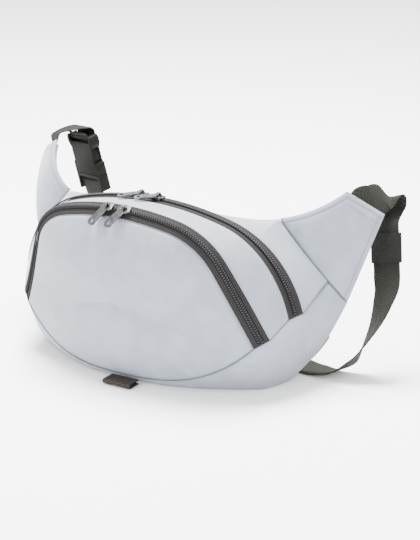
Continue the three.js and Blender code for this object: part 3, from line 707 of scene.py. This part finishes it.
def front_panel():
    """Dome: rings from the middle to the outline, raised by one minus the ring to a power.

    The gathers under the zip are narrow dents that fade downwards; broad ripples show the cloth's
    slackness, and the last millimetres roll into the seam."""
    around = np.linspace(1, -1, 240)[1:-1]
    outline = np.concatenate([seam_line["front", "near"],
                              front_bottom(np.abs(around), np.where(around < 0, -1.0, 1.0))])
    rings = np.sin(np.linspace(0.0, 1, 64) * math.pi / 2) ** 0.9
    rings[0] = 0
    middle = arr(DOME["middle"])
    grid = mix(middle, outline[None], rings[:, None, None])
    grid[..., 1] -= DOME["bulge"] * (1 - rings[:, None] ** DOME["power"])
    normal = grid_normals(grid, ring=True)
    x, z = grid[..., 0], grid[..., 2]
    reach = np.linalg.norm(outline - middle, axis=-1)
    to_edge = (1 - rings[:, None]) * reach[None]
    top = np.maximum(0, 158 - z)
    gathers = 1.0 * bump_at(x + 21, 5) + 0.8 * bump_at(x + 5, 4.5) + 0.6 * bump_at(x - 9, 5)
    gathers = gathers * np.exp(-top / 17) - 0.5 * bump_at(x + 13, 6) * np.exp(-top / 20)
    height = -1.5 * bump_at(to_edge, 2.0) - 3.6 * gathers * smooth(to_edge / 4)
    height += 0.45 * ripple(x, z, 3) * smooth(to_edge / 14)
    height[0] = height[1].mean()
    normal[0] = unit(normal[1].mean(0))
    outer = grid + normal * height[..., None]
    uv = np.stack([x, z], -1)
    piece = shell("front_cloth", outer, outer - normal * THICK, ring=True, uv=uv)
    return finish_piece(piece, cloth, replaces=["front_panel"])


front_panel()
for node, first, last, steps, height, width, seed, sag in (
        ("pocket_gusset", seam_line["front", "far"], seam_line["main", "near"], 26, 0.5, 40, 5, 0.8),
        ("rear_gusset", seam_line["main", "far"], rear_line, 34, 0.6, 60, 8, 0.9)):
    rows = near_edges(steps)
    slack = 4 * rows[:, None] * (1 - rows[:, None])
    relief = slack * (height * ripple(columns[None] * 190, rows[:, None] * width, seed) - sag)
    panel(node + "_cloth", strip(first, last, rows), cloth, [node], ("first", "last"),
          0.8, relief)

around_base = np.linspace(1, -1, 300)
base_rows = mix(np.linspace(0, 1, 56), near_edges(56, 2.2), 0.5)
base = base_point(around_base, base_rows)
hang = smooth(base[..., 2] / 12)
base_ripple = 0.55 * hang * ripple(around_base[None] * 230, base_rows[:, None] * 95, 11)
panel("base_cloth", base, cloth, ["base_band"], ("first", "last", "start", "end"), 1.3,
      base_ripple)


def fold_shadow_line(name, path, radius=0.42, sunk=0.35):
    """Painted shadow where two panels meet: a thin dark cord in the dip, standing for the shadow of the
    fold.
    """
    ahead = unit(np.gradient(path, axis=0))
    out = path - path.mean(0)
    out = unit(out - ahead * (out * ahead).sum(-1, keepdims=True))
    aside = np.cross(ahead, out)
    turn = np.arange(8) * math.pi / 4
    rows = (path[:, None] - out[:, None] * sunk
            + radius * (out[:, None] * np.cos(turn)[None, :, None]
                        + aside[:, None] * np.sin(turn)[None, :, None]))
    reach = run_length(path)
    uv = np.stack(np.broadcast_arrays(turn[None] * radius, reach[:, None]), -1)
    finish_piece(tube(name, rows, uv), fold_shadow_cloth)


fold_shadow_line("base_seam_shadow", base[0])
for side, name in ((0, "right"), (1, "left")):
    fold_shadow_line(f"{name}_wing_seam_shadow", wing_point(side, 0.0, np.linspace(0.02, 0.98, 60)))

# ---------------------------------------------------------------- zips
tape_rows = np.linspace(0, 1, 9)
for key, parts in (("front", ("front_zip_lower_tape", "front_zip_upper_tape")),
                   ("main", ("main_zip_front_tape", "main_zip_rear_tape"))):
    for node, (first, last) in zip(parts, (("near", "mid"), ("mid", "far"))):
        first_row, last_row = seam_line[key, first], seam_line[key, last]
        inset = np.array((0.02, 0.97)) if last == "mid" else np.array((0.03, 0.98))
        grid = strip(first_row, last_row, mix(inset[0], inset[1], tape_rows))
        panel(node + "_weave", grid, tape_weave, [node],
              relief=np.full(grid.shape[:2], -0.25))


COIL_SPAN = 0.985              # share of the zip's reach that has coil turns


def coil(zip_, name, node):
    """Two rows of coil turns: a round back across the zip times a ridge for every turn.

    The two halves' turns are half a pitch apart and meet in a shallow groove along the middle."""
    turns = int(2 * zip_["reach"] * COIL_SPAN / COIL["pitch"])
    t = np.linspace(-COIL_SPAN, COIL_SPAN, turns * 6 + 1)
    w = np.linspace(-1, 1, 15)
    near, far = (mix(*zip_[k], past_crown(zip_, t)) for k in ("near", "far"))
    slope = (near + far) / 2
    lift = unit(beside_arch(zip_, t, np.cos(slope), -np.sin(slope)) - beside_arch(zip_, t, 0, 0))
    base_line = on_tape(zip_, t[None], w[:, None] * COIL["width"] / 2)
    phase = t * zip_["reach"] / COIL["pitch"] * 2 * math.pi
    half = np.tanh(w * 9)[:, None]
    ridge = 0.5 + 0.5 * np.sin(phase[None] + half * math.pi / 2)
    back = np.sqrt(np.maximum(0, 1 - w ** 2))[:, None] ** 0.8
    groove = 1 - 0.35 * bump_at(w, 0.10)[:, None]
    height = 0.35 + COIL["height"] * back * (0.52 + 0.48 * ridge) * groove
    outer = base_line + lift[None] * height[..., None]
    inner = base_line + lift[None] * 0.3
    uv = np.stack(np.broadcast_arrays(t[None] * zip_["reach"], w[:, None] * COIL["width"] / 2), -1)
    uv[..., 0] += half / (2 * math.pi) * COIL["pitch"] * math.pi / 2
    finish_piece(shell(name, outer, inner, uv=uv), coil_nylon, replaces=[node])


coil(FRONT_ZIP, "front_coil_turns", "front_zip_coil")
coil(MAIN_ZIP, "main_coil_turns", "main_zip_coil")

# ---------------------------------------------------------------- sewing thread
STITCH = {"step": 3.3, "length": 2.5, "radius": 0.3, "points": 20}


def thread_row(path, normals):
    """Stitches along a line: small spindles, one to a step, half sunk in the cloth.

    A spindle is a point, three rings of six points and a point."""
    step, length, radius = STITCH["step"], STITCH["length"], STITCH["radius"]
    reach = run_length(path)
    stops = np.arange(step, reach[-1] - step / 2, step)
    spots = np.stack([np.interp(stops, reach, path[:, k]) for k in range(3)], -1)
    up = unit(np.stack([np.interp(stops, reach, normals[:, k]) for k in range(3)], -1))
    ahead = unit(np.stack([np.interp(stops + 0.3, reach, path[:, k])
                           - np.interp(stops - 0.3, reach, path[:, k]) for k in range(3)], -1))
    aside = unit(np.cross(up, ahead))
    turn = np.arange(6) * math.pi / 3
    places = np.array((-0.36, 0, 0.36))[:, None] * length
    girth = np.array((0.75, 1, 0.75))[:, None] * radius
    local = np.stack(np.broadcast_arrays(places, girth * np.cos(turn), girth * np.sin(turn)), -1)
    local = np.concatenate([[(-0.5 * length, 0, 0)], local.reshape(-1, 3), [(0.5 * length, 0, 0)]])
    axes = np.stack([ahead, aside, up], 1)
    points = spots[:, None] + np.einsum("pk,nkc->npc", local, axes) + up[:, None] * 0.12
    i, j = np.arange(6), (np.arange(6) + 1) % 6
    ends = np.concatenate([np.stack([np.zeros(6, int), 1 + j, 1 + i], -1),
                           np.stack([np.full(6, STITCH["points"] - 1), 13 + i, 13 + j], -1)])
    sides = np.concatenate([np.stack([1 + r * 6 + i, 1 + r * 6 + j, 7 + r * 6 + j, 7 + r * 6 + i], -1)
                            for r in range(2)])
    return points.reshape(-1, 3), sides, ends, len(spots)


def stitching(name, rows):
    """One piece of thread for several rows of stitches."""
    points, faces, count = [], [], 0
    for path, normals in rows:
        row, sides, ends, n = thread_row(path, normals)
        shift = (np.arange(n) * STITCH["points"] + count)[:, None, None]
        faces += [(sides[None] + shift).reshape(-1, 4), (ends[None] + shift).reshape(-1, 3)]
        points.append(row)
        count += n * STITCH["points"]
    points = np.concatenate(points)
    piece = put_mesh(name, points, faces, points[:, (0, 2)])
    return finish_piece(piece, thread)


# ---------------------------------------------------------------- wings
def grid_line(grid, reach, distance, along_rows):
    """Line at a constant distance from an edge: each row or column is read where reach equals it."""
    lines = []
    for k in range(grid.shape[0] if along_rows else grid.shape[1]):
        far = reach[k] if along_rows else reach[:, k]
        points = grid[k] if along_rows else grid[:, k]
        order = np.argsort(far)
        lines.append([np.interp(distance, far[order], points[order, c]) for c in range(3)])
    return arr(lines)


STITCH_ROWS = (5, 11)          # distances of the stitch rows from a wing's edge


def wing(side, name):
    """Padded wing: a crowned outer cloth and a mesh back, sewn together along three edges.

    The back sits deeper towards the middle, by smooth steps from each edge, and leaves the tip
    open for the webbing."""
    a = near_edges(60, 2.4)
    b = near_edges(60, 2.4)[::-1]
    if side == 1:
        a = a[::-1]
    grid = wing_point(side, a[None], b[:, None])
    reach = edge_reach(grid)
    tip, seam = ("end", "start") if side == 0 else ("start", "end")
    sewn = np.minimum.reduce([reach["first"], reach["last"], reach[tip]])
    x, z = grid[..., 0], grid[..., 2]
    height = 1.5 * smooth(sewn / 13) * smooth(reach[seam] / 12)
    height -= 0.45 * bump_at(sewn - 5, 1.1) + 0.9 * bump_at(sewn, 1.6) + 1.2 * bump_at(reach[seam], 1.8)
    height += 0.5 * ripple(x, z + grid[..., 1], 20 + side) * smooth(sewn / 12)
    normal = grid_normals(grid)
    outer = grid + normal * height[..., None]
    face = shell(f"{name}_wing_cloth", outer, outer - normal * THICK)
    finish_piece(face, cloth,
                 replaces=[f"{name}_wing_panel", f"{name}_wing_foam"])

    rows = [grid_line(outer, reach[key], STITCH_ROWS[0], False)[3:-3] for key in ("last", "first")]
    rows += [grid_line(outer, reach[tip], distance, True)[4:-4] for distance in STITCH_ROWS]
    up = unit(normal.mean((0, 1)))
    stitching(f"{name}_wing_thread", [(row, np.broadcast_to(up, row.shape)) for row in rows])

    a_back = mix(0.02, 0.94, near_edges(44, 2.0))
    if side == 1:
        a_back = a_back[::-1]
    b_back = mix(0.01, 0.99, near_edges(44, 2.0))[::-1]
    under = wing_point(side, a_back[None], b_back[:, None])
    back_normal = grid_normals(under)
    deep = 1.5 + 3.1 * (smooth(b_back / 0.12) * smooth((1 - b_back) / 0.12))[:, None] * smooth(
        a_back / 0.14)[None]
    deep = deep + 0.25 * ripple(under[..., 0] * 1.5, under[..., 2] * 1.5, 30 + side)
    lining = shell(f"{name}_wing_back", under - back_normal * deep[..., None],
                   under - back_normal * (deep[..., None] + 1))
    finish_piece(lining, air_mesh, replaces=[f"{name}_wing_backing"])


wing(0, "right")
wing(1, "left")


# ---------------------------------------------------------------- back pad
CHANNELS = (48, 92)            # heights of the back pad's sewn channels


def back_pad():
    """Padded back: a flat front and a back that rises from its edge as a quarter circle.

    Two sewn channels cross it, each a bell-shaped dent."""
    f = near_edges(64, 1.6)
    xs = mix(SEAM_LOW[1][0] + 15, SEAM_LOW[0][0] - 15, near_edges(150, 1.6))
    low = np.maximum(0.5, rear_bottom_z(xs))
    z = mix(low[None], rear_top_z(xs)[None] - 2.5, f[:, None])
    x = np.broadcast_to(xs[None], z.shape)
    edge = np.minimum.reduce([z - low[None], rear_top_z(xs)[None] - 2.5 - z,
                              np.abs(x - xs[0]), np.abs(x - xs[-1])])
    rise = np.sqrt(1 - (1 - np.clip(edge / 12, 0, 1)) ** 2)
    thick = 0.8 + 5.6 * rise
    for height in CHANNELS:
        thick -= 2.2 * bump_at(z - height - 0.0006 * x ** 2, 3.2) * rise
    thick += 0.35 * ripple(x, z, 41) * rise
    front = np.stack([x, back_y(x) + 1.3, z], -1)
    behind = front + np.stack([x * 0, thick, x * 0], -1)
    pad = shell("back_pad", front, behind, uv=np.stack([x, z], -1))
    finish_piece(pad, air_mesh, replaces=["back_panel", "back_foam"])


back_pad()


# ---------------------------------------------------------------- webbing
def through(points, t):
    """Centripetal Catmull-Rom curve through points, at t from 0 to 1 over equal shares.

    Each span is a cubic Hermite whose end slopes come from knots spaced by the square root of the
    distance between neighbouring points."""
    points = arr(points)
    points = np.concatenate([[2 * points[0] - points[1]], points, [2 * points[-1] - points[-2]]])
    spans = len(points) - 3
    place = np.clip(t, 0, 1) * spans
    k = np.minimum(place.astype(int), spans - 1)
    w = (place - k)[:, None]
    p0, p1, p2, p3 = (points[k + i] for i in range(4))
    gap = [np.maximum(np.linalg.norm(b - a, axis=-1), 1e-6)[:, None] ** 0.5
           for a, b in ((p0, p1), (p1, p2), (p2, p3))]
    t1 = ((p1 - p0) / gap[0] - (p2 - p0) / (gap[0] + gap[1]) + (p2 - p1) / gap[1]) * gap[1]
    t2 = ((p2 - p1) / gap[1] - (p3 - p1) / (gap[1] + gap[2]) + (p3 - p2) / gap[2]) * gap[1]
    return (p1 * (2 * w ** 3 - 3 * w ** 2 + 1) + t1 * (w ** 3 - 2 * w ** 2 + w)
            + p2 * (3 * w ** 2 - 2 * w ** 3) + t2 * (w ** 3 - w ** 2))


def strap(name, stations, steps, square=True):
    """Flat webbing along stations of (centre, direction across): a ring of points to each step.

    Each ring stands square to the path unless square is false, where it follows its station.
    The ring is a flat oval, one minus the tenth power of the place across, to the half."""
    t = np.linspace(0, 1, steps)
    centres, turns = ([s[i] for s in stations] for i in (0, 1))
    path = through(centres, t)
    width, thick = WEBBING["width"], WEBBING["thick"]
    ahead = unit(through(centres, t + 1e-4) - through(centres, t - 1e-4))
    across = through(turns, t)
    if square:
        across = across - ahead * (across * ahead).sum(-1, keepdims=True)
    across = unit(across)
    up = unit(np.cross(ahead, across))
    k = np.linspace(0, math.pi, 25)
    place = np.concatenate([-np.cos(k), np.cos(k)[1:-1]])
    half = np.where(np.arange(len(place)) < 25, 1, -1) * np.sqrt(1 - np.abs(place) ** 10)
    rows = (path[:, None] + across[:, None] * (place * width / 2)[None, :, None]
            + up[:, None] * (half * thick / 2)[None, :, None])
    reach = run_length(path)
    uv = np.stack(np.broadcast_arrays((place * width / 2)[None], reach[:, None]), -1)
    return tube(name, rows, uv)


KEEPER_RUN = {"top": (181.5, 116.5, 136.7), "foot": (190.2, 104.5, 91.3), "across": (0.97, -0.2, 0.15)}
KEEPER = {"room": 0.8, "half_wall": 0.55, "half_length": 13.5, "corner": 0.35}
STRAP_END = 82                 # how far down the buckle the belt comes to lie flat


def keeper_at(f):
    return tuple(mix(arr(KEEPER_RUN["top"]), arr(KEEPER_RUN["foot"]), f))


belt_stations = [
    *[wing_seat(0, a) for a in (0.82, 0.91)], wing_seat(0, 1, 5.4),
    ((172.5, 109, 156.5), (0.66, 0.52, -0.54)), ((176, 119, 158.5), (0.80, 0.38, -0.46)),
    ((180, 126, 157), (0.90, 0.22, -0.34)), ((181.3, 126.5, 152.6), (0.97, 0.05, -0.2)),
    ((181.3, 122.8, 145.4), (0.99, -0.12, 0.04)),
    *[(keeper_at(f), KEEPER_RUN["across"]) for f in (0, 0.25, 0.5, 0.75, 1)],
    ((193.1, 99.4, 80.4), (0.94, -0.29, 0.19)), ((192.5, 93, 67.9), (0.86, -0.45, 0.24)),
    ((189.7, 86.2, 51.3), (0.71, -0.63, 0.30)), ((184.2, 78.7, 34.4), (0.52, -0.78, 0.34)),
    ((175.2, 70.8, 15.3), (0.28, -0.83, 0.48)), ((159.6, 66, 4.4), (0.33, -0.90, 0.28)),
    ((141, 67, 1.4), (0.05, -1, 0.02)), ((120, 72.5, 1.2), (0, -1, 0)),
    ((95, 82, 1.2), (0, -1, 0)), ((60, 93, 1.2), (0, -1, 0)), ((10, 106, 1.2), (0, -1, 0)),
    ((-45, 124, 5), (0.15, -1, 0)), ((-90, 137, 21), (0.45, -0.85, 0.10)),
    ((-118, 141, 42), (0.78, -0.60, 0.10)),
    *[(on_buckle(0, 0.4, z), BUCKLE["across"]) for z in np.linspace(117, STRAP_END, 5)],
    *[(on_buckle(0, y, z), BUCKLE["across"]) for y, z in
      ((1.4, 72), (2.3, 62), (2.6, 52.5), (2.4, 49.8), (0.4, 48.3), (-3, 49))],
]
belt = strap("belt", belt_stations, 620)
finish_piece(belt, belt_weave, body=None, replaces=["belt_webbing", "adjuster_webbing"])
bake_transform(belt)

tip_stations = [
    *[wing_seat(1, a) for a in (0.82, 0.91)], wing_seat(1, 1, 3.6),
    (on_buckle(-17, 19, -4.5), (-0.80, 0.52, -0.26)),
    (on_buckle(-11, 13, -6.8), (-0.87, 0.42, -0.18)), (on_buckle(-4, 7, -8), (-0.92, 0.35, -0.12)),
    *[(on_buckle(0, y, z), ACROSS) for y, z in
      ((1.5, -7.6), (-3.6, -6), (-5.6, -2.6), (-5.4, 1), (-4, 4.2), (-1, 5.4), (2.2, 4.9), (3.6, 2.6),
       (3.6, 0), (5, -2.5))],
    (on_buckle(-2.5, 9, -5), ACROSS),
]
tip_strap = strap("tip_webbing", tip_stations, 170, square=False)
finish_piece(tip_strap, belt_weave, replaces=["left_webbing"])

LOOP = {"x": 7, "y": FRONT_SEAM[0] - 1.8, "z": 2.8, "length": 13, "lift": 1.7}
turn = np.linspace(math.pi / 2, 1.5 * math.pi, 7)
loop_line = [(0, LOOP["lift"]), (-6, LOOP["lift"])]
loop_line += [(-LOOP["length"] + LOOP["lift"] * math.cos(t), LOOP["lift"] * math.sin(t)) for t in turn]
loop_line += [(-6, -LOOP["lift"]), (0, -LOOP["lift"])]
loop_stations = [((LOOP["x"], LOOP["y"] + y, LOOP["z"] + z), (1, 0, 0)) for y, z in loop_line]
finish_piece(strap("loop", loop_stations, 90), loop_weave, replaces=["gear_loop"])


def keeper():
    """Flat sleeve: a rounded slot carried round by a rounded wall section."""
    z = unit(arr(KEEPER_RUN["foot"]) - arr(KEEPER_RUN["top"]))
    x = arr(KEEPER_RUN["across"])
    x = unit(x - z * (x @ z))
    y = np.cross(z, x)
    around = np.linspace(0, 2 * math.pi, 96, endpoint=False)
    wide, deep = (WEBBING[k] / 2 + KEEPER["room"] + KEEPER["half_wall"] for k in ("width", "thick"))
    flat = np.clip(np.cos(around) * 1.35, -1, 1) * (wide - deep)
    bow = np.stack([np.cos(around), np.sin(around)], -1)
    line = np.stack([flat + bow[:, 0] * deep, bow[:, 1] * deep], -1)
    section = np.linspace(0, 2 * math.pi, 36, endpoint=False)
    corner = KEEPER["corner"]
    wall = KEEPER["half_wall"] * np.sign(np.cos(section)) * np.abs(np.cos(section)) ** corner
    run = KEEPER["half_length"] * np.sign(np.sin(section)) * np.abs(np.sin(section)) ** corner
    sides = line[:, None] + bow[:, None] * wall[None, :, None]
    points = (arr(keeper_at(0.5)) + sides[..., :1] * x + sides[..., 1:] * y
              + run[None, :, None] * z)
    uv = np.stack(np.broadcast_arrays(run_length(line)[:, None], run[None]), -1)
    piece = torus("keeper_sleeve", points, uv)
    finish_piece(piece, elastic_knit, "strap_keeper", ["strap_keeper"])


keeper()


# ---------------------------------------------------------------- buckle, sliders and pulls
def eased(node, name, material, body, width):
    """A node's shape with every sharp edge rounded off."""
    mesh = nodes[node].data.copy()
    bm = bmesh.new()
    bm.from_mesh(mesh)
    bmesh.ops.remove_doubles(bm, verts=bm.verts, dist=0.00001)
    bmesh.ops.dissolve_limit(bm, angle_limit=1.5 * DEG, verts=bm.verts, edges=bm.edges)
    bm.to_mesh(mesh)
    bm.free()
    mesh.name = name
    for attribute in [a.name for a in mesh.color_attributes]:
        mesh.color_attributes.remove(mesh.color_attributes[attribute])
    mesh.polygons.foreach_set("use_smooth", np.ones(len(mesh.polygons), bool))
    piece = add_object(name, mesh)
    bevel = piece.modifiers.new("rounded edges", "BEVEL")
    bevel.width, bevel.segments = width * MM, 2
    bevel.limit_method, bevel.angle_limit = "ANGLE", 32 * DEG
    bevel.harden_normals = True
    return finish_piece(piece, material, body, [node])


for node, name, body, width in (("buckle_socket", "socket", "bag", 0.7),
                                ("buckle_plug", "plug", "buckle_plug", 0.5),
                                ("right_prong", "right_catch", "right_prong", 0.5),
                                ("left_prong", "left_catch", "left_prong", 0.5)):
    eased(node, name, buckle_nylon, body, width)
for zip_name in ("front", "main"):
    for place in ("left", "right"):
        for part, width in (("slider", 0.3), ("pull", 0.35)):
            node = f"{zip_name}_{place}_{part}"
            eased(node, node + "_cast", pull_metal, node, width)


# ---------------------------------------------------------------- floor and light
LIGHT_AIM = (0, 0, 0.08)


def add_floor():
    mesh = bpy.data.meshes.new("floor")
    size, z = 6, -0.0002
    corners = [(-size, -size, z), (size, -size, z), (size, size, z), (-size, size, z)]
    mesh.from_pydata(corners, [], [(0, 1, 2, 3)])
    paint = Finish("floor paint", roughness=0.9, base_color=(0.93, 0.93, 0.93, 1))
    mesh.materials.append(paint.material)
    add_object("floor", mesh)


def add_light(name, place, size, power):
    data = bpy.data.lights.new(name, "AREA")
    data.shape, data.size = "DISK", size
    data.energy = power
    light = add_object(name, data)
    light.location = place
    light.rotation_euler = (Vector(LIGHT_AIM) - Vector(place)).to_track_quat("-Z", "Y").to_euler()


add_floor()
add_light("key", (-0.35, 0.35, 1.9), 1.0, 250)
add_light("front", (-0.6, -1.9, 1.0), 1.2, 24)
add_light("side", (1.7, -0.9, 0.9), 1.2, 14)
world = bpy.data.worlds.new("studio")
world.use_nodes = True
background = world.node_tree.nodes["Background"].inputs
background["Color"].default_value = (1, 1, 1, 1)
background["Strength"].default_value = 2.1
bpy.context.scene.world = world
